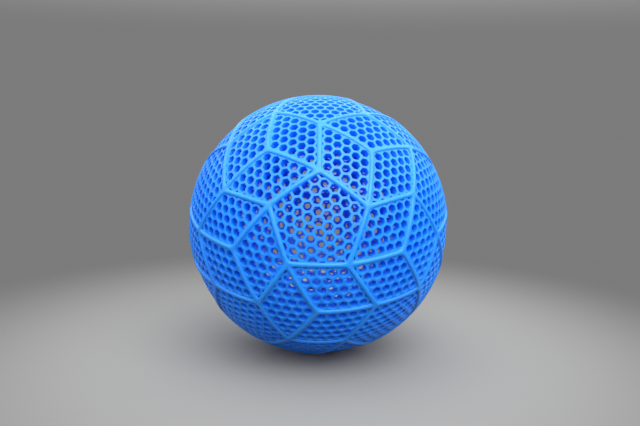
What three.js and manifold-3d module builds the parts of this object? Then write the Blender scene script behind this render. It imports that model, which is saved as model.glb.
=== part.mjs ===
// An airless ball: a hollow lattice sphere put together from 12 pentagon and 20 hexagon panels.
// Millimetres, +Z up, origin at the centre of the ball, with one pentagon facing -Y.
import * as THREE from "three";
import { mergeVertices } from "three/addons/utils/BufferGeometryUtils.js";
import Module from "manifold-3d";

// Driving dimensions
const BALL_DIAMETER = 220; // over the crests of the ribs
const WALL_THICKNESS = 5.5; // of the lattice, from its inner to its outer face
const RIB_HEIGHT = 1.2; // of a rib's crest over the lattice
const RIB_WIDTH = 4.2; // a seam's rib is shared half and half by the two panels that meet there
const SEAM_GAP = 0.3; // between the edges of neighbouring panels
const DIAMOND_ROWS = 2; // rows of holes each way in a diamond field
const DIAMOND_WEB = 2; // between neighbouring holes of a diamond field
const DIAMOND_MARGIN = 1.5; // between the outermost holes of a diamond field and its ribs
const PENTAGON_RINGS = 1; // rings of holes around the middle one of a pentagon field
const PENTAGON_WEB = 2; // between neighbouring holes of a pentagon field
const PENTAGON_MARGIN = 1.5; // least land between the outermost ring of holes and the ribs
const TAB_WIDTH = 6; // along the seam
const TAB_THICKNESS = 2; // through the wall
const TAB_REACH = 2; // past the middle of the seam, into the neighbouring panel
const TAB_ROOT = 1; // from the middle of the seam back into the tab's own panel
const TAB_CLEARANCE = 0.3; // around and ahead of a tab in its socket
const TAB_OFFSET = 7; // of a tab and a socket from the middle of a seam between two hexagons
const RIB_FACETS = 3; // straight lengths that make up one rib; odd, so that one lies at its middle
const LEAST_VALLEY = 1e-4; // depth from which a valley between two facets counts

// Radii and angles that follow from them
const CREST_RADIUS = BALL_DIAMETER / 2;
const OUTER_RADIUS = CREST_RADIUS - RIB_HEIGHT;
const INNER_RADIUS = OUTER_RADIUS - WALL_THICKNESS;
const TAB_RADIUS = (INNER_RADIUS + OUTER_RADIUS) / 2;
const RIB_ANGLE = Math.asin(RIB_WIDTH / 2 / CREST_RADIUS);
const GAP_ANGLE = Math.asin(SEAM_GAP / 2 / CREST_RADIUS);

// The flat faces of a truncated icosahedron whose corners lie on the crest sphere
const EDGE_LENGTH = CREST_RADIUS / Math.sqrt((29 + 9 * Math.sqrt(5)) / 8);
// The rows of a diamond field are spread so that they just fill it.
const DIAMOND_LAND = RIB_WIDTH / 2 + DIAMOND_MARGIN;
const DIAMOND_ROOM = EDGE_LENGTH - (4 / Math.sqrt(3)) * DIAMOND_LAND + (4 / 3) * DIAMOND_WEB;
const DIAMOND_PITCH = DIAMOND_ROOM / (DIAMOND_ROWS + 1 / 3);
const HEXAGON = makeFace(6);
const PENTAGON = makeFace(5);
// The rings of a pentagon field are spread so that the outermost just fits between the ribs.
const PENTAGON_LAND = RIB_WIDTH / 2 + PENTAGON_MARGIN;
const PENTAGON_ROOM = PENTAGON.apothem - PENTAGON_LAND + PENTAGON_WEB / Math.sqrt(3);
const PENTAGON_PITCH = PENTAGON_ROOM / (PENTAGON_RINGS + 1 / Math.sqrt(3));
const PENTAGON_SPACING = Math.atan(2); // between the axes of neighbouring pentagons
const PENTAGON_EDGE_TILT = Math.atan2(PENTAGON.apothem, PENTAGON.distance);
const PENTAGON_CORNER_TILT = Math.atan2(PENTAGON.corners[0].length(), PENTAGON.distance);
// With the front pentagon tipped up by this much, the ball rests on the middle of a seam.
const FRONT_ELEVATION = Math.PI / 2 - PENTAGON_SPACING - PENTAGON_EDGE_TILT;

const BLUE = new THREE.MeshStandardMaterial({ color: 0x2f8cf5, roughness: 0.55, metalness: 0 });

const wasm = await Module();
wasm.setup();

// One flat face: its corners, and its distance from the middle of the ball.
function makeFace(sides) {
  const step = (2 * Math.PI) / sides;
  const circumradius = EDGE_LENGTH / 2 / Math.sin(step / 2);
  const corners = [];
  for (let k = 0; k < sides; k++) {
    corners.push(new THREE.Vector2(Math.cos(k * step), Math.sin(k * step)).multiplyScalar(circumradius));
  }
  const distance = Math.sqrt(CREST_RADIUS ** 2 - circumradius ** 2);
  return { corners, distance, apothem: circumradius * Math.cos(step / 2) };
}

// The direction in which the middle of the ball sees a point of a flat face.
function lookAt(face, point) {
  return new THREE.Vector3(point.x, point.y, face.distance).normalize();
}

// The unit vector square to the great circle through two directions, on its left-hand side.
function poleOf(from, to) {
  return new THREE.Vector3().crossVectors(from, to).normalize();
}

// The direction at a share of the way along the great circle between two directions.
function along(from, to, share) {
  const angle = from.angleTo(to) * share;
  const forward = new THREE.Vector3().crossVectors(poleOf(from, to), from);
  return from.clone().multiplyScalar(Math.cos(angle)).addScaledVector(forward, Math.sin(angle));
}

// The direction that lies at one angle to the left of two great circles, near where they cross.
function cornerBetween(poleA, poleB, angle) {
  const both = poleA.clone().add(poleB);
  both.multiplyScalar(Math.sin(angle) / (1 + poleA.dot(poleB)));
  const crossing = poleOf(poleA, poleB);
  return both.addScaledVector(crossing, Math.sqrt(1 - both.lengthSq()));
}

// A closed loop of directions around a field, each side moved in by an angle from its great circle.
// It comes as one list for each side, from that side's first corner to its last facet.
function insetLoop(corners, angle) {
  const sides = corners.map((from, k) => {
    const to = corners[(k + 1) % corners.length];
    return { from, to, pole: poleOf(from, to) };
  });
  return sides.map(({ from, to, pole }, k) => {
    const previous = sides[(k + sides.length - 1) % sides.length];
    const points = [cornerBetween(previous.pole, pole, angle)];
    for (let step = 1; step < RIB_FACETS; step++) {
      const middle = along(from, to, step / RIB_FACETS).multiplyScalar(Math.cos(angle));
      points.push(middle.addScaledVector(pole, Math.sin(angle)));
    }
    return points;
  });
}

// All the points of one side of a loop, with the corner that ends it.
function sideOf(loop, k) {
  return [...loop[k], loop[(k + 1) % loop.length][0]];
}

// A hole's six corners in the flat face; its flats look at the neighbouring holes.
function hexagonHole(middle, pitch, web, rowAngle) {
  const circumradius = (pitch - web) / Math.sqrt(3);
  const corners = [];
  for (let k = 0; k < 6; k++) {
    const angle = rowAngle + ((2 * k + 1) * Math.PI) / 6;
    const spoke = new THREE.Vector2(Math.cos(angle), Math.sin(angle));
    corners.push(middle.clone().addScaledVector(spoke, circumradius));
  }
  return corners;
}

// The holes of a diamond field that spans from the middle of a hexagon to two of its corners.
function diamondHoles(cornerA, cornerB) {
  const alongA = cornerA.clone().normalize();
  const alongB = cornerB.clone().normalize();
  const first = (EDGE_LENGTH - (DIAMOND_ROWS - 1) * DIAMOND_PITCH) / 2;
  const holes = [];
  for (let row = 0; row < DIAMOND_ROWS; row++) {
    for (let column = 0; column < DIAMOND_ROWS; column++) {
      const middle = alongA.clone().multiplyScalar(first + row * DIAMOND_PITCH);
      middle.addScaledVector(alongB, first + column * DIAMOND_PITCH);
      const hole = hexagonHole(middle, DIAMOND_PITCH, DIAMOND_WEB, alongA.angle());
      holes.push(hole.map((point) => lookAt(HEXAGON, point)));
    }
  }
  return holes;
}

// The holes of a pentagon field: one at its middle and the rings around it, in rows parallel to
// the pentagon's first side.
function pentagonHoles() {
  const rowStep = PENTAGON.corners[1].clone().sub(PENTAGON.corners[0]).setLength(PENTAGON_PITCH);
  const slantStep = rowStep.clone().rotateAround(new THREE.Vector2(), Math.PI / 3);
  const holes = [];
  for (let row = -PENTAGON_RINGS; row <= PENTAGON_RINGS; row++) {
    for (let column = -PENTAGON_RINGS; column <= PENTAGON_RINGS; column++) {
      if (Math.abs(row + column) <= PENTAGON_RINGS) {
        const middle = rowStep.clone().multiplyScalar(row).addScaledVector(slantStep, column);
        const hole = hexagonHole(middle, PENTAGON_PITCH, PENTAGON_WEB, rowStep.angle());
        holes.push(hole.map((point) => lookAt(PENTAGON, point)));
      }
    }
  }
  return holes;
}

// Finds an edge, between two of the triangles, that lies in a valley of the sheet they make up.
function findValley(points, triangles) {
  const sides = new Map();
  triangles.forEach(([a, b, c], index) => {
    sides.set(`${a} ${b}`, { index, apex: c });
    sides.set(`${b} ${c}`, { index, apex: a });
    sides.set(`${c} ${a}`, { index, apex: b });
  });
  for (const [side, { index, apex }] of sides) {
    const [a, b] = side.split(" ").map(Number);
    const across = sides.get(`${b} ${a}`);
    if (across) {
      const plane = new THREE.Plane().setFromCoplanarPoints(points[a], points[b], points[apex]);
      if (plane.distanceToPoint(points[across.apex]) > LEAST_VALLEY) {
        return { a, b, index, apex, across };
      }
    }
  }
  return null;
}

// Turns every edge that lies in a valley, so that the triangles follow the sphere closely.
function followSphere(points, triangles) {
  for (let valley = findValley(points, triangles); valley; valley = findValley(points, triangles)) {
    const { a, b, index, apex, across } = valley;
    triangles[index] = [a, across.apex, apex];
    triangles[across.index] = [across.apex, b, apex];
  }
  return triangles;
}

// Collects the triangles of one panel.
class Skin {
  corners = [];

  triangle(a, b, c) {
    this.corners.push(a, b, c);
  }

  quad(a, b, c, d) {
    this.triangle(a, b, c);
    this.triangle(a, c, d);
  }

  // Joins two loops or strips of equal length, point by point.
  strip(near, far) {
    for (let k = 0; k + 1 < near.length; k++) {
      this.quad(near[k], near[k + 1], far[k + 1], far[k]);
    }
  }

  // Covers the ground inside a loop and outside its holes on a sphere. The points are laid out
  // flat from the foot of the panel's axis, which keeps every facet's corner out of line.
  sheet(loop, holes, radius, facesOut) {
    const layOut = (d) => new THREE.Vector2(d.x, d.y).divideScalar(1 + d.z);
    const flatHoles = holes.map((hole) => hole.map(layOut));
    const points = onSphere([loop, ...holes].flat(), radius);
    const triangles = THREE.ShapeUtils.triangulateShape(loop.map(layOut), flatHoles);
    for (const [a, b, c] of followSphere(points, triangles)) {
      if (facesOut) {
        this.triangle(points[a], points[b], points[c]);
      } else {
        this.triangle(points[a], points[c], points[b]);
      }
    }
  }

  geometry() {
    return mergeVertices(new THREE.BufferGeometry().setFromPoints(this.corners));
  }
}

const onSphere = (directions, radius) => directions.map((d) => d.clone().multiplyScalar(radius));
const onCrest = (directions, angle) => onSphere(directions, CREST_RADIUS / Math.cos(angle));
const closed = (points) => [...points, points[0]];

// What both kinds of panel share: the sheets and the walls around the outline, fields and holes.
function latticeSkin(outline, fields) {
  const skin = new Skin();
  const edge = closed(outline.flat());
  skin.sheet(outline.flat(), fields.flatMap((field) => field.holes), INNER_RADIUS, false);
  skin.strip(onSphere(edge, INNER_RADIUS), onCrest(edge, GAP_ANGLE));
  for (const { loop, holes } of fields) {
    const flank = closed(loop.flat());
    skin.sheet(loop.flat(), holes, OUTER_RADIUS, true);
    skin.strip(onCrest(flank, RIB_ANGLE), onSphere(flank, OUTER_RADIUS));
    for (const hole of holes) {
      skin.strip(onSphere(closed(hole), OUTER_RADIUS), onSphere(closed(hole), INNER_RADIUS));
    }
  }
  return skin;
}

// The crest of the half rib along one side of a panel.
function addSeamCrest(skin, outline, side, loop, loopSide) {
  const edge = onCrest(sideOf(outline, side), GAP_ANGLE);
  skin.strip(edge, onCrest(sideOf(loop, loopSide), RIB_ANGLE));
}

function pentagonSkin() {
  const corners = PENTAGON.corners.map((corner) => lookAt(PENTAGON, corner));
  const outline = insetLoop(corners, GAP_ANGLE);
  const loop = insetLoop(corners, RIB_ANGLE);
  const skin = latticeSkin(outline, [{ loop, holes: pentagonHoles() }]);
  corners.forEach((_, side) => addSeamCrest(skin, outline, side, loop, side));
  return skin;
}

// Three ribs run from the middle of a hexagon to every other corner and leave three diamond fields.
function hexagonSkin() {
  const middle = new THREE.Vector3(0, 0, 1);
  const corners = HEXAGON.corners.map((corner) => lookAt(HEXAGON, corner));
  const outline = insetLoop(corners, GAP_ANGLE);
  const fields = [0, 2, 4].map((first) => {
    const last = (first + 2) % 6;
    const around = [middle, corners[first], corners[first + 1], corners[last]];
    const holes = diamondHoles(HEXAGON.corners[first], HEXAGON.corners[last]);
    return { first, loop: insetLoop(around, RIB_ANGLE), holes };
  });
  const skin = latticeSkin(outline, fields);
  fields.forEach(({ first, loop }, k) => {
    addSeamCrest(skin, outline, first, loop, 1);
    addSeamCrest(skin, outline, first + 1, loop, 2);
    const clockwise = fields[(k + 2) % 3].loop;
    const left = onCrest(sideOf(loop, 0), RIB_ANGLE);
    const right = onCrest(sideOf(clockwise, 3), RIB_ANGLE).reverse();
    skin.strip(right, left);
    const tip = onCrest([outline[first][0]], GAP_ANGLE)[0];
    skin.triangle(right.at(-1), tip, left.at(-1));
  });
  skin.triangle(...fields.map(({ loop }) => onCrest([loop[0][0]], RIB_ANGLE)[0]));
  return skin;
}

function solidOf(geometry) {
  const bare = geometry.clone();
  bare.deleteAttribute("normal");
  bare.deleteAttribute("uv");
  const merged = mergeVertices(bare);
  const vertProperties = new Float32Array(merged.attributes.position.array);
  const triVerts = new Uint32Array(merged.index.array);
  return new wasm.Manifold(new wasm.Mesh({ numProp: 3, vertProperties, triVerts }));
}

function geometryOf(solid) {
  const mesh = solid.getMesh();
  const geometry = new THREE.BufferGeometry();
  geometry.setAttribute("position", new THREE.BufferAttribute(mesh.vertProperties, 3));
  geometry.setIndex(new THREE.BufferAttribute(mesh.triVerts, 1));
  geometry.computeVertexNormals();
  return geometry;
}

// A block at mid wall on one side of a face. It runs across the seam from one distance to another,
// counted outwards from the middle of the seam, and lies at an offset along it.
function seamBlock(face, side, offset, width, thickness, start, end) {
  const corners = [side, (side + 1) % face.corners.length].map((k) => lookAt(face, face.corners[k]));
  const out = poleOf(corners[0], corners[1]).negate();
  const up = along(corners[0], corners[1], 0.5);
  const onward = new THREE.Vector3().crossVectors(up, out);
  const place = up.clone().multiplyScalar(TAB_RADIUS);
  place.addScaledVector(onward, offset).addScaledVector(out, (start + end) / 2);
  const matrix = new THREE.Matrix4().makeBasis(onward, up, out).setPosition(place);
  return solidOf(new THREE.BoxGeometry(width, thickness, end - start).applyMatrix4(matrix));
}

function addTab(solid, face, side, offset) {
  const tab = seamBlock(face, side, offset, TAB_WIDTH, TAB_THICKNESS, -TAB_ROOT, TAB_REACH);
  return solid.add(tab);
}

function cutSocket(solid, face, side, offset) {
  const width = TAB_WIDTH + 2 * TAB_CLEARANCE;
  const thickness = TAB_THICKNESS + 2 * TAB_CLEARANCE;
  const depth = TAB_REACH + TAB_CLEARANCE;
  return solid.subtract(seamBlock(face, side, offset, width, thickness, -depth, SEAM_GAP));
}

// A pentagon has a tab at the middle of each side.
function pentagonPanel() {
  let solid = solidOf(pentagonSkin().geometry());
  for (let side = 0; side < 5; side++) {
    solid = addTab(solid, PENTAGON, side, 0);
  }
  return geometryOf(solid);
}

// A hexagon's even sides meet hexagons and hold a tab and a socket; the odd ones meet pentagons.
function hexagonPanel() {
  let solid = solidOf(hexagonSkin().geometry());
  for (let side = 0; side < 6; side += 2) {
    solid = addTab(solid, HEXAGON, side, TAB_OFFSET);
    solid = cutSocket(solid, HEXAGON, side, -TAB_OFFSET);
    solid = cutSocket(solid, HEXAGON, side + 1, 0);
  }
  return geometryOf(solid);
}

// The axes of the twelve pentagons around a front one on +Z that has a corner towards +Y.
function pentagonAxes() {
  const axes = [new THREE.Vector3(0, 0, 1)];
  for (const [tilt, firstTurn] of [[PENTAGON_SPACING, 0], [Math.PI - PENTAGON_SPACING, Math.PI / 5]]) {
    for (let k = 0; k < 5; k++) {
      const turn = Math.PI / 2 + firstTurn + (2 * Math.PI * k) / 5;
      const ring = new THREE.Vector3(Math.cos(turn), Math.sin(turn), 0).multiplyScalar(Math.sin(tilt));
      axes.push(ring.setZ(Math.cos(tilt)));
    }
  }
  axes.push(new THREE.Vector3(0, 0, -1));
  return axes;
}

const axes = pentagonAxes();
const areNeighbours = (a, b) => Math.abs(a.angleTo(b) - PENTAGON_SPACING) < PENTAGON_SPACING / 10;

// A panel with its own axis along one direction and its first corner towards another.
function placePanel(name, geometry, axis, towards) {
  const panel = new THREE.Mesh(geometry, BLUE);
  const sideways = poleOf(axis, towards);
  const first = new THREE.Vector3().crossVectors(sideways, axis);
  panel.name = name;
  panel.quaternion.setFromRotationMatrix(new THREE.Matrix4().makeBasis(first, sideways, axis));
  return panel;
}

const numbered = (kind, count) => `${kind}_${String(count).padStart(2, "0")}`;

function pentagonPanels() {
  const geometry = pentagonPanel();
  return axes.map((axis, k) => {
    const neighbour = axes.find((other) => areNeighbours(axis, other));
    return placePanel(numbered("pentagon_panel", k + 1), geometry, axis, neighbour);
  });
}

// A hexagon sits between each three neighbouring pentagons, taken anticlockwise from outside. Its
// first corner is the first pentagon's corner towards the second.
function hexagonPanels() {
  const geometry = hexagonPanel();
  const panels = [];
  axes.forEach((a, i) => {
    axes.forEach((b, j) => {
      axes.forEach((c, k) => {
        const meet = areNeighbours(a, b) && areNeighbours(b, c) && areNeighbours(c, a);
        if (!meet || i > j || i > k || poleOf(a, b).dot(c) < 0) {
          return;
        }
        const axis = a.clone().add(b).add(c).normalize();
        const firstCorner = along(a, b, PENTAGON_CORNER_TILT / PENTAGON_SPACING);
        const name = numbered("hexagon_panel", panels.length + 1);
        panels.push(placePanel(name, geometry, axis, firstCorner));
      });
    });
  });
  return panels;
}

const ball = new THREE.Group();
ball.rotation.x = Math.PI / 2 - FRONT_ELEVATION;
ball.add(...pentagonPanels(), ...hexagonPanels());

const part = new THREE.Group();
part.add(ball);
export default part;
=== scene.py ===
"""The looks of an airless ball: a hollow printed lattice of 12 pentagon and 20 hexagon panels.

Metres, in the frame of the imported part: +Z up, the middle of the ball at the origin, and one
pentagon facing -Y.
"""
import math

import bmesh
import bpy
import numpy as np
from mathutils import Matrix, Vector


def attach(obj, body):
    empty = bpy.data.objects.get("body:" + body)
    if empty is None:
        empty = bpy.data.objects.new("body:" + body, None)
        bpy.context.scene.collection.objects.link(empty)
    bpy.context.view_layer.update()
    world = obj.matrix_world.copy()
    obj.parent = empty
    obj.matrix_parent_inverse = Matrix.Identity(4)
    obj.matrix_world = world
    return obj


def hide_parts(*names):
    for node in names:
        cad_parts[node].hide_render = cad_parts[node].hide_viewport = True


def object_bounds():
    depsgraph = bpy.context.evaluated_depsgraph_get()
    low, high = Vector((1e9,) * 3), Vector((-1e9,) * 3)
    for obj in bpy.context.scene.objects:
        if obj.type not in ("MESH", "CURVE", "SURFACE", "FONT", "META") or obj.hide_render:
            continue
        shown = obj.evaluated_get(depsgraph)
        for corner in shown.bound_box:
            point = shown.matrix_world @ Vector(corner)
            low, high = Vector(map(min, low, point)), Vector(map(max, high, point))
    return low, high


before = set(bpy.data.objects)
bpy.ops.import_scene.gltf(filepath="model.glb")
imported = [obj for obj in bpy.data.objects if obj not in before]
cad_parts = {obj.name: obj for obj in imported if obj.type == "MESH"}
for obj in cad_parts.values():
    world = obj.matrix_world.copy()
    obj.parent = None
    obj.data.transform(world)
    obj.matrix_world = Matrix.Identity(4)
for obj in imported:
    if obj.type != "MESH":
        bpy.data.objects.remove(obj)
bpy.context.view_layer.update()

# Driving dimensions
MM = 0.001
CREST_RADIUS = 110 * MM
RIB_HEIGHT = 1.2 * MM  # of a rib's crest over the lattice
RIB_WIDTH = 3.5 * MM  # between its flanks
RIB_FOOT = 0.3 * MM  # radius where a rib meets the lattice
RIB_BLEND = 1.0 * MM  # how softly two ribs run into each other at a corner
WALL_THICKNESS = 5.5 * MM
SEAM_GAP = 0.02 * MM  # between neighbouring panels
HOLE_PITCH = 8.14 * MM  # on a plane that touches the crest sphere at the middle of a field
HOLE_WEB = 2.15 * MM  # between neighbouring holes, below their rounded edges
HOLE_CORNER = 0.6 * MM  # length of the short side at each rounded corner of a hole
HOLE_LEDGE = 0.4 * MM  # least distance of a hole from the flank of a rib
LEAST_HOLE = 0.2 * MM**2  # a smaller one is left closed
EDGE_RADIUS = 0.4 * MM  # of the rounded edge of a hole
EDGE_TURN = math.radians(50)  # how far that edge turns before it runs out straight
CUT_BEYOND = 1.0 * MM  # how far a cut runs on into the hollow
CUT_ABOVE = 0.1 * MM  # how far it runs on over the lattice
LATTICE_TURNS = {1: 2, 2: 3, 3: 1}  # pentagons whose lattice lies turned, by fifths of a full turn

# The photograph's frame, where the ball lies in it, and how the camera stands to the ball
PHOTO_WIDTH = 640
PHOTO_HEIGHT = 426
FOCAL_PIXELS = 690
BALL_PIXEL = (318.4, 224.0)
CAMERA_DISTANCE = 0.597
CAMERA_ELEVATION = math.radians(9.42)
CAMERA_ROLL = math.radians(0.855)

# The rubber
DEEP_BLUE = (0.004, 0.230, 0.965, 1)
CLEAR_BLUE = (0.009, 0.266, 0.99, 1)
SPECKLE_BLUE = (0.016, 0.300, 0.99, 1)
# The crests' blue: paler where scuffed, plus an even painted light that makes all raised ribs
# lighter
CREST_WEAR_AND_LIGHT_BLUE = (0.024, 0.325, 0.99, 1)
MOTTLE_SIZE = 25 * MM
MOTTLE_SPAN = (0.35, 0.65)  # each span gives the noise values between which a pattern grows
SCUFF_SIZE = 3 * MM
SCUFF_SPAN = (0.4, 0.7)
SCUFF_DETAIL = 4.0  # finer layers of noise
GRAIN_SIZE = 0.6 * MM
GRAIN_SPAN = (0.3, 0.7)
SPECKLE_SPAN = (0.5, 0.8)
GRAIN_RELIEF = 0.04 * MM
RELIEF_STRENGTH = 0.5
PAINTED_CREST_LIGHT = 0.3  # how far all of a crest takes the paler blue, as painted light that makes the raised ribs lighter
CREST_WEAR_BY_SCUFFS = 0.6  # and how much further its scuffs do, as wear
ROUGHNESS_RANGE = (0.40, 0.50)
RUBBED_ROUGHNESS = -0.06  # added where a crest is paler, from wear and from painted light
SPECULAR_LEVEL = 0.5

# The studio, in metres and watts
FLOOR_REACH = 20
FLOOR_COLOUR = (0.25, 0.25, 0.246, 1)
FLOOR_BOUNCE = (0.09, 0.09, 0.09, 1)  # darker than it looks, so that it lights the ball little
FADE_START = 0.14  # distances from the ball's middle between which the floor fades out
FADE_END = 0.45
SKY_COLOUR = (1, 1, 1, 1)
SKY_HORIZON = 0.2  # strengths
SKY_OVERHEAD = 1.88
SKY_RISE = (0.1, 0.5)  # heights on a unit sphere between which the strength grows
SOFTBOX_PLACE = (0.48, -1.02, 1.13)
SOFTBOX_SIZE = 1.6
SOFTBOX_POWER = 20

# What follows from them
OUTER_RADIUS = CREST_RADIUS - RIB_HEIGHT
INNER_RADIUS = OUTER_RADIUS - WALL_THICKNESS
HOLE_APOTHEM = (HOLE_PITCH - HOLE_WEB) / 2
EDGE_LENGTH = CREST_RADIUS / math.sqrt((29 + 9 * math.sqrt(5)) / 8)  # of the truncated icosahedron
PENTAGON_SPACING = math.atan(2)  # angle between the axes of neighbouring pentagons
NEIGHBOUR_SLACK = PENTAGON_SPACING / 10

# How finely the surfaces are drawn
SIDE_STATIONS = 10
CREST_STEPS = 6
FOOT_STEPS = 3
EDGE_STEPS = 2
FLOOR_RINGS = 4
HOLLOW_RINGS = 3
LATTICE_ROWS = 8  # more than any field holds
SEARCH_STEPS = 40
MERGE_DISTANCE = 0.001 * MM
SHARP_ANGLE = math.radians(33)


def unit(vectors):
    return vectors / np.linalg.norm(vectors, axis=-1, keepdims=True)


class Face:
    """One flat face of the truncated icosahedron whose corners lie on the crest sphere."""

    def __init__(self, sides):
        turns = 2 * math.pi * np.arange(sides) / sides
        radius = EDGE_LENGTH / 2 / math.sin(math.pi / sides)
        self.flat_corners = radius * np.stack([np.cos(turns), np.sin(turns)], axis=1)
        self.apothem = radius * math.cos(math.pi / sides)
        self.distance = math.sqrt(CREST_RADIUS**2 - radius**2)
        self.corners = self.directions(self.flat_corners)

    def directions(self, flat_points):
        """The directions in which the middle of the ball sees points of the face."""
        heights = np.full((len(flat_points), 1), self.distance)
        return unit(np.hstack([flat_points, heights]))


PENTAGON = Face(5)
HEXAGON = Face(6)


class Field:
    """A stretch of lattice with ribs on all its sides, given by its corners, anticlockwise.

    Its holes stand in rows around the direction of its heart, on a plane that touches the crest
    sphere there.
    """

    def __init__(self, corners, heart, row):
        following = np.roll(corners, -1, axis=0)
        self.poles = unit(np.cross(corners, following))
        self.middle = unit(np.linalg.solve(self.poles[:3], np.ones(3)))
        self.sides = [self.stations(a, b) for a, b in zip(corners, following)]
        self.outline = np.vstack(self.sides)
        along = unit(row - heart * (row @ heart))
        self.heart = CREST_RADIUS * heart
        self.plane = np.stack([along, np.cross(heart, along)])

    @staticmethod
    def stations(start, end):
        """Directions along one side, closer together towards its corners, without the last."""
        shares = (1 - np.cos(math.pi * np.arange(SIDE_STATIONS) / SIDE_STATIONS)) / 2
        angle = math.acos(start @ end)
        forward = unit(end - start * (start @ end))
        return np.outer(np.cos(angle * shares), start) + np.outer(np.sin(angle * shares), forward)

    def distance(self, directions):
        """How far inside the field's sides directions lie, with the corners rounded off."""
        reaches = CREST_RADIUS * np.arcsin(directions @ self.poles.T)
        return -RIB_BLEND * np.log(np.exp(-reaches / RIB_BLEND).sum(axis=1))

    def loop(self, level):
        """The loop of directions at one distance from the sides, one for each of the outline."""
        near = np.zeros((len(self.outline), 1))
        far = np.ones((len(self.outline), 1))
        for _ in range(SEARCH_STEPS):
            share = (near + far) / 2
            inside = self.distance(self.between(share)) > level
            near = np.where(inside[:, None], share, near)
            far = np.where(inside[:, None], far, share)
        return self.between(near)

    def between(self, share):
        return unit(self.middle + share * (self.outline - self.middle))

    def inradius(self):
        return self.distance(self.middle[None, :])[0]

    def lift(self, flat_points):
        """Points of the field's plane as points in space."""
        return self.heart + flat_points @ self.plane

    def holes(self):
        """The outlines of the holes on the field's plane, cut short where a rib is in the way."""
        found = []
        for middle in HOLE_PITCH * lattice_points(LATTICE_ROWS):
            outline = middle + hole_outline()
            for pole in self.poles:
                outline = clip(outline, self.lift(outline) @ pole - RIB_WIDTH / 2 - HOLE_LEDGE)
            if area(outline) > LEAST_HOLE:
                found.append(outline)
        return found


class Skin:
    """Collects the points and faces of one closed mesh."""

    def __init__(self):
        self.points = []
        self.faces = []

    def loop(self, directions, radius):
        first = len(self.points)
        self.points.extend(directions * radius)
        return list(range(first, len(self.points)))

    def ring(self, near, far):
        for k, index in enumerate(near):
            after = (k + 1) % len(near)
            self.faces.append((index, near[after], far[after], far[k]))

    def fan(self, ring, tip):
        for k, index in enumerate(ring):
            self.faces.append((index, ring[(k + 1) % len(ring)], tip))

    def mesh(self, name):
        made = bpy.data.meshes.new(name)
        made.from_pydata([tuple(point) for point in self.points], [], self.faces)
        shape = bmesh.new()
        shape.from_mesh(made)
        bmesh.ops.remove_doubles(shape, verts=shape.verts, dist=MERGE_DISTANCE)
        bmesh.ops.recalc_face_normals(shape, faces=shape.faces)
        bmesh.ops.triangulate(shape, faces=shape.faces)
        shape.to_mesh(made)
        shape.free()
        return made


def rib_section():
    """Distances from a rib's middle and heights over the lattice, from its crest to its foot."""
    section = []
    for turn in np.linspace(math.pi / 2, 0, CREST_STEPS + 1)[1:-1]:
        section.append((RIB_WIDTH / 2 * math.cos(turn), RIB_HEIGHT * math.sin(turn)))
    for turn in np.linspace(math.pi, 1.5 * math.pi, FOOT_STEPS):
        across = RIB_WIDTH / 2 + RIB_FOOT * (math.cos(turn) + 1)
        section.append((across, RIB_FOOT * (math.sin(turn) + 1)))
    return section


def add_field(skin, field):
    """The ribs and the lattice's face on the outside, and the face towards the hollow."""
    section = rib_section()
    foot = section[-1][0]
    floor = [(foot + (field.inradius() - foot) * k / FLOOR_RINGS, 0) for k in range(1, FLOOR_RINGS)]
    rings = [skin.loop(field.outline, CREST_RADIUS)]
    for across, height in section + floor:
        rings.append(skin.loop(field.loop(across), OUTER_RADIUS + height))
    for near, far in zip(rings, rings[1:]):
        skin.ring(near, far)
    skin.fan(rings[-1], skin.loop(field.middle[None, :], OUTER_RADIUS)[0])
    hollow = []
    for k in range(HOLLOW_RINGS):
        share = np.full((len(field.outline), 1), 1 - k / HOLLOW_RINGS)
        hollow.append(skin.loop(field.between(share), INNER_RADIUS))
    for near, far in zip(hollow, hollow[1:]):
        skin.ring(far, near)
    skin.fan(hollow[-1][::-1], skin.loop(field.middle[None, :], INNER_RADIUS)[0])


def add_wall(skin, stations):
    """The wall along the seams, from the crest down to the hollow."""
    skin.ring(skin.loop(stations, INNER_RADIUS), skin.loop(stations, CREST_RADIUS))


def body_mesh(name, fields, seam_stations):
    skin = Skin()
    for field in fields:
        add_field(skin, field)
    add_wall(skin, seam_stations)
    return skin.mesh(name)


def pentagon_fields():
    """One field, with rows parallel to its first side."""
    corners = PENTAGON.corners
    return [Field(corners, np.array([0.0, 0.0, 1.0]), corners[1] - corners[0])]


def hexagon_fields():
    """Three ribs run from the middle to every other corner and leave three diamond fields."""
    corners = HEXAGON.corners
    middle = np.array([0.0, 0.0, 1.0])
    fields = []
    for first in (0, 2, 4):
        tip = corners[first + 1]
        around = np.array([middle, corners[first], tip, corners[(first + 2) % 6]])
        fields.append(Field(around, unit(middle + tip), tip - middle))
    return fields


def lattice_points(rows):
    """The points of a triangular lattice of pitch 1 around a middle one, out to some rows."""
    points = []
    for row in range(-rows, rows + 1):
        for column in range(-rows, rows + 1):
            if abs(row + column) <= rows:
                points.append((row + column / 2, column * math.sqrt(3) / 2))
    return np.array(points)


def hole_outline():
    """A hexagon with its corners cut short, whose flats look at the neighbouring holes."""
    half_side = HOLE_APOTHEM / math.sqrt(3) - HOLE_CORNER / 2
    points = []
    for k in range(6):
        turn = k * math.pi / 3
        out = np.array([math.cos(turn), math.sin(turn)])
        along = np.array([-math.sin(turn), math.cos(turn)])
        points.append(HOLE_APOTHEM * out - half_side * along)
        points.append(HOLE_APOTHEM * out + half_side * along)
    return np.array(points)


def clip(outline, heights):
    """The part of an outline where the heights of its points are above nought."""
    kept = []
    for k, point in enumerate(outline):
        before, height = heights[k - 1], heights[k]
        if (before > 0) != (height > 0):
            kept.append(outline[k - 1] + (point - outline[k - 1]) * before / (before - height))
        if height > 0:
            kept.append(point)
    return np.array(kept).reshape(-1, 2)


def area(outline):
    x, y = outline.T
    return (x @ np.roll(y, -1) - y @ np.roll(x, -1)) / 2


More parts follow.
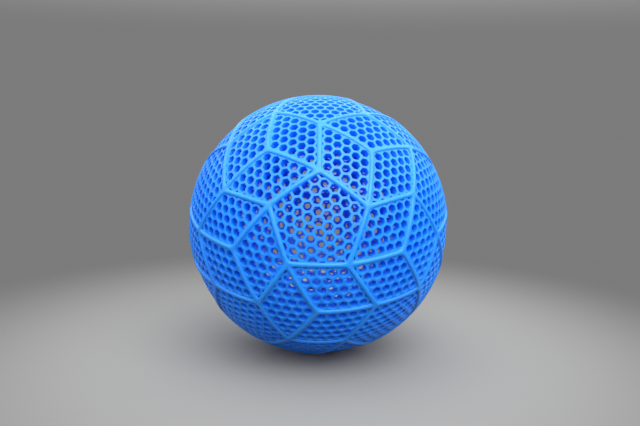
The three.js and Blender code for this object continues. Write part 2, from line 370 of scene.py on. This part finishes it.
def edge_section():
    """Heights over the lattice, and how much wider a hole is there, up its rounded edge."""
    section = []
    for turn in np.linspace(0, EDGE_TURN, EDGE_STEPS + 1):
        section.append((EDGE_RADIUS * (math.sin(turn) - 1), EDGE_RADIUS * (1 - math.cos(turn))))
    height, widening = section[-1]
    section.append((CUT_ABOVE, widening + (CUT_ABOVE - height) * math.tan(EDGE_TURN)))
    return section


def cutter_mesh(name, fields):
    """One closed plug for each hole, which runs from the hollow to just above the lattice."""
    stages = [(INNER_RADIUS - CUT_BEYOND, 1.0)]
    for height, widening in edge_section():
        stages.append((OUTER_RADIUS + height, 1 + widening / HOLE_APOTHEM))
    skin = Skin()
    for field in fields:
        for outline in field.holes():
            middle = outline.mean(axis=0)
            rings = []
            for radius, scale in stages:
                ring = unit(field.lift(middle + scale * (outline - middle)))
                rings.append(skin.loop(ring, radius))
            for near, far in zip(rings, rings[1:]):
                skin.ring(near, far)
            skin.faces.append(tuple(rings[0][::-1]))
            skin.faces.append(tuple(rings[-1]))
    return skin.mesh(name)


def subtract(body, cutter):
    """The mesh of a body with a cutter taken out of it."""
    objects = [bpy.data.objects.new(mesh.name, mesh) for mesh in (body, cutter)]
    for made in objects:
        bpy.context.scene.collection.objects.link(made)
    cut = objects[0].modifiers.new("holes", "BOOLEAN")
    cut.operation = "DIFFERENCE"
    cut.solver = "MANIFOLD"
    cut.object = objects[1]
    evaluated = objects[0].evaluated_get(bpy.context.evaluated_depsgraph_get())
    result = bpy.data.meshes.new_from_object(evaluated)
    for made in objects:
        bpy.data.objects.remove(made)
    return result


def panel_mesh(kind, face, fields, seam):
    """A panel with its holes cut, a hair's gap at its seams, and its curved faces shaded smooth."""
    mesh = subtract(body_mesh(f"{kind}_body", fields, seam), cutter_mesh(f"{kind}_cutter", fields))
    shrink = 1 - SEAM_GAP / 2 / face.apothem
    mesh.transform(Matrix.Diagonal((shrink, shrink, 1, 1)))
    mesh.shade_smooth()
    mesh.set_sharp_from_angle(angle=SHARP_ANGLE)
    return mesh


def pentagon_mesh():
    fields = pentagon_fields()
    return panel_mesh("pentagon", PENTAGON, fields, fields[0].outline)


def hexagon_mesh():
    fields = hexagon_fields()
    seam = np.vstack([side for field in fields for side in field.sides[1:3]])
    return panel_mesh("hexagon", HEXAGON, fields, seam)


def pentagon_axes():
    """The axes of the pentagons around a front one on +Z that has a corner towards +Y."""
    axes = [Vector((0, 0, 1))]
    for tilt, first_turn in ((PENTAGON_SPACING, 0), (math.pi - PENTAGON_SPACING, math.pi / 5)):
        for k in range(5):
            turn = math.pi / 2 + first_turn + 2 * math.pi * k / 5
            ring = math.sin(tilt)
            axes.append(Vector((ring * math.cos(turn), ring * math.sin(turn), math.cos(tilt))))
    axes.append(Vector((0, 0, -1)))
    return axes


def are_neighbours(a, b):
    return abs(a.angle(b) - PENTAGON_SPACING) < NEIGHBOUR_SLACK


def panel_matrix(axis, towards):
    """Turns a panel's own axis to one direction and its first corner towards another."""
    sideways = axis.cross(towards).normalized()
    first = sideways.cross(axis)
    return Matrix((first, sideways, axis)).transposed().to_4x4()


def pentagon_places(axes):
    places = []
    for k, a in enumerate(axes):
        first_neighbour = next(b for b in axes if are_neighbours(a, b))
        turned = Matrix.Rotation(2 * math.pi * LATTICE_TURNS.get(k, 0) / 5, 4, "Z")
        places.append(panel_matrix(a, first_neighbour) @ turned)
    return places


def hexagon_places(axes):
    """One hexagon between each three neighbouring pentagons, anticlockwise from outside."""
    corner_tilt = math.asin(np.linalg.norm(PENTAGON.flat_corners[0]) / CREST_RADIUS)
    places = []
    for i, a in enumerate(axes):
        for j, b in enumerate(axes):
            for k, c in enumerate(axes):
                meet = are_neighbours(a, b) and are_neighbours(b, c) and are_neighbours(c, a)
                if meet and i < j and i < k and a.cross(b).dot(c) > 0:
                    first_corner = a.slerp(b, corner_tilt / PENTAGON_SPACING)
                    places.append(panel_matrix((a + b + c).normalized(), first_corner))
    return places


def front_elevation():
    """The front pentagon is tipped up so that the ball rests on the middle of a seam."""
    return math.pi / 2 - PENTAGON_SPACING - math.atan2(PENTAGON.apothem, PENTAGON.distance)


def add_panels(kind, mesh, places, material):
    tilt = Matrix.Rotation(math.pi / 2 - front_elevation(), 4, "X")
    mesh.materials.clear()
    mesh.materials.append(material)
    for k, place in enumerate(places):
        own_mesh = mesh.copy()
        own_mesh.name = f"{kind}_lattice_{k + 1:02d}"
        own_mesh.transform(tilt @ place)
        panel = bpy.data.objects.new(own_mesh.name, own_mesh)
        bpy.context.scene.collection.objects.link(panel)
        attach(panel, "root")
        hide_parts(f"{kind}_panel_{k + 1:02d}")


class Nodes:
    """Builds one node tree by short calls."""

    def __init__(self, tree):
        self.tree = tree
        self.tree.nodes.clear()

    def add(self, kind, values=None, **settings):
        """A new node with its settings, and its inputs set to values or linked to outputs."""
        node = self.tree.nodes.new(kind)
        for name, value in settings.items():
            setattr(node, name, value)
        for name, value in (values or {}).items():
            if isinstance(value, bpy.types.NodeSocket):
                self.tree.links.new(value, node.inputs[name])
            else:
                node.inputs[name].default_value = value
        return node

    def math(self, operation, *values):
        inputs = dict(enumerate(values))
        return self.add("ShaderNodeMath", inputs, operation=operation).outputs[0]

    def mix_colour(self, factor, a, b):
        node = self.add("ShaderNodeMix", data_type="RGBA")
        for name, value in (("Factor_Float", factor), ("A_Color", a), ("B_Color", b)):
            socket = next(one for one in node.inputs if one.identifier == name)
            if isinstance(value, bpy.types.NodeSocket):
                self.tree.links.new(value, socket)
            else:
                socket.default_value = value
        return next(one for one in node.outputs if one.identifier == "Result_Color")

    def noise(self, place, size, detail=2.0):
        """Cloudy values around a half, with lumps of about one size."""
        values = {"Vector": place, "Scale": 1 / size, "Detail": detail}
        return self.add("ShaderNodeTexNoise", values).outputs["Fac"]

    def ramp(self, value, low, high, to_low=0.0, to_high=1.0):
        """A smooth rise from one value to another between two limits."""
        limits = {"From Min": low, "From Max": high, "To Min": to_low, "To Max": to_high}
        values = {"Value": value, **limits}
        node = self.add("ShaderNodeMapRange", values, interpolation_type="SMOOTHSTEP")
        return node.outputs["Result"]

    def seen_directly(self):
        """One where the camera, or a mirror or glass, looks at the surface, else nought."""
        path = self.add("ShaderNodeLightPath").outputs
        either = self.math("MAXIMUM", path["Is Camera Ray"], path["Is Glossy Ray"])
        return self.math("MAXIMUM", either, path["Is Transmission Ray"])


def elastomer():
    """Blue printed rubber: finely grained, faintly mottled, and paler on its crests, partly from
    scuffed wear and partly as painted light on the raised ribs.
    """
    material = bpy.data.materials.new("blue_elastomer")
    material.use_nodes = True
    nodes = Nodes(material.node_tree)
    place = nodes.add("ShaderNodeTexCoord").outputs["Object"]
    radius = nodes.add("ShaderNodeVectorMath", {0: place}, operation="LENGTH").outputs["Value"]
    mottle = nodes.ramp(nodes.noise(place, MOTTLE_SIZE), *MOTTLE_SPAN)
    grain = nodes.noise(place, GRAIN_SIZE)
    scuffs = nodes.ramp(nodes.noise(place, SCUFF_SIZE, SCUFF_DETAIL), *SCUFF_SPAN)
    # Crests paler: scuffs as wear, plus an even share of painted light on the raised ribs
    crest = nodes.ramp(radius, CREST_RADIUS - RIB_HEIGHT / 2, CREST_RADIUS)
    wear_and_painted_light = nodes.math("MULTIPLY_ADD", scuffs, CREST_WEAR_BY_SCUFFS, PAINTED_CREST_LIGHT)
    crest_wear_and_painted_light = nodes.math("MULTIPLY", crest, wear_and_painted_light)
    plain = nodes.mix_colour(mottle, DEEP_BLUE, CLEAR_BLUE)
    speckled = nodes.mix_colour(nodes.ramp(grain, *SPECKLE_SPAN), plain, SPECKLE_BLUE)
    colour = nodes.mix_colour(crest_wear_and_painted_light, speckled, CREST_WEAR_AND_LIGHT_BLUE)
    dull = nodes.ramp(grain, *GRAIN_SPAN, *ROUGHNESS_RANGE)
    relief = {"Strength": RELIEF_STRENGTH, "Distance": GRAIN_RELIEF, "Height": grain}
    values = {
        "Base Color": colour,
        "Roughness": nodes.math("MULTIPLY_ADD", crest_wear_and_painted_light, RUBBED_ROUGHNESS, dull),
        "Specular IOR Level": SPECULAR_LEVEL,
        "Normal": nodes.add("ShaderNodeBump", relief).outputs["Normal"],
    }
    shader = nodes.add("ShaderNodeBsdfPrincipled", values).outputs[0]
    nodes.add("ShaderNodeOutputMaterial", {"Surface": shader})
    return material


def add_camera():
    """Stands where the photograph was taken from, with the ball in the same place of the frame."""
    data = bpy.data.cameras.new("camera")
    data.lens = FOCAL_PIXELS * data.sensor_width / PHOTO_WIDTH
    camera = bpy.data.objects.new("camera", data)
    bpy.context.scene.collection.objects.link(camera)
    level = CAMERA_DISTANCE * math.cos(CAMERA_ELEVATION)
    camera.location = (0, -level, CAMERA_DISTANCE * math.sin(CAMERA_ELEVATION))
    across = (BALL_PIXEL[0] - PHOTO_WIDTH / 2) / FOCAL_PIXELS
    down = (BALL_PIXEL[1] - PHOTO_HEIGHT / 2) / FOCAL_PIXELS
    straight = Vector((0, 0, -1))
    off_axis = Vector((across, -down, -1)).rotation_difference(straight)
    aim = (-camera.location).to_track_quat("-Z", "Y")
    roll = Matrix.Rotation(CAMERA_ROLL, 3, "Z").to_quaternion()
    camera.rotation_mode = "QUATERNION"
    camera.rotation_quaternion = aim @ roll @ off_axis
    bpy.context.scene.camera = camera


def add_floor(height):
    """A plain pale floor that fades into the backdrop."""
    mesh = bpy.data.meshes.new("floor")
    quarters = ((-1, -1), (1, -1), (1, 1), (-1, 1))
    corners = [(FLOOR_REACH * x, FLOOR_REACH * y, height) for x, y in quarters]
    mesh.from_pydata(corners, [], [(0, 1, 2, 3)])
    floor = bpy.data.objects.new("floor", mesh)
    bpy.context.scene.collection.objects.link(floor)
    material = bpy.data.materials.new("floor")
    material.use_nodes = True
    nodes = Nodes(material.node_tree)
    seen = nodes.seen_directly()
    colour = nodes.mix_colour(seen, FLOOR_BOUNCE, FLOOR_COLOUR)
    ground = nodes.add("ShaderNodeBsdfDiffuse", {"Color": colour}).outputs[0]
    glow = {"Color": SKY_COLOUR, "Strength": SKY_HORIZON}
    backdrop = nodes.add("ShaderNodeEmission", glow).outputs[0]
    place = nodes.add("ShaderNodeTexCoord").outputs["Object"]
    distance = nodes.add("ShaderNodeVectorMath", {0: place}, operation="LENGTH").outputs["Value"]
    fade = nodes.ramp(distance, FADE_START, FADE_END)
    shown = nodes.math("MULTIPLY", fade, seen)
    shader = nodes.add("ShaderNodeMixShader", {0: shown, 1: ground, 2: backdrop}).outputs[0]
    nodes.add("ShaderNodeOutputMaterial", {"Surface": shader})
    mesh.materials.append(material)


def add_sky():
    """Soft light from all round, dim at the horizon and strongest overhead."""
    world = bpy.data.worlds.new("sky")
    bpy.context.scene.world = world
    world.use_nodes = True
    nodes = Nodes(world.node_tree)
    direction = nodes.add("ShaderNodeTexCoord").outputs["Generated"]
    height = nodes.add("ShaderNodeSeparateXYZ", {0: direction}).outputs["Z"]
    strength = nodes.ramp(height, *SKY_RISE, SKY_HORIZON, SKY_OVERHEAD)
    glow = {"Color": SKY_COLOUR, "Strength": strength}
    light = nodes.add("ShaderNodeBackground", glow).outputs[0]
    nodes.add("ShaderNodeOutputWorld", {"Surface": light})


def add_softbox():
    """One large soft lamp in front of the ball, above it and to the right."""
    data = bpy.data.lights.new("softbox", "AREA")
    data.shape = "DISK"
    data.size = SOFTBOX_SIZE
    data.energy = SOFTBOX_POWER
    light = bpy.data.objects.new("softbox", data)
    light.location = SOFTBOX_PLACE
    light.rotation_mode = "QUATERNION"
    light.rotation_quaternion = (-light.location).to_track_quat("-Z", "Y")
    bpy.context.scene.collection.objects.link(light)


bpy.context.scene.view_settings.view_transform = "Standard"
blue = elastomer()
axes = pentagon_axes()
add_panels("pentagon", pentagon_mesh(), pentagon_places(axes), blue)
add_panels("hexagon", hexagon_mesh(), hexagon_places(axes), blue)
visual_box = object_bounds()
add_floor(visual_box[0].z)
add_camera()
add_sky()
add_softbox()
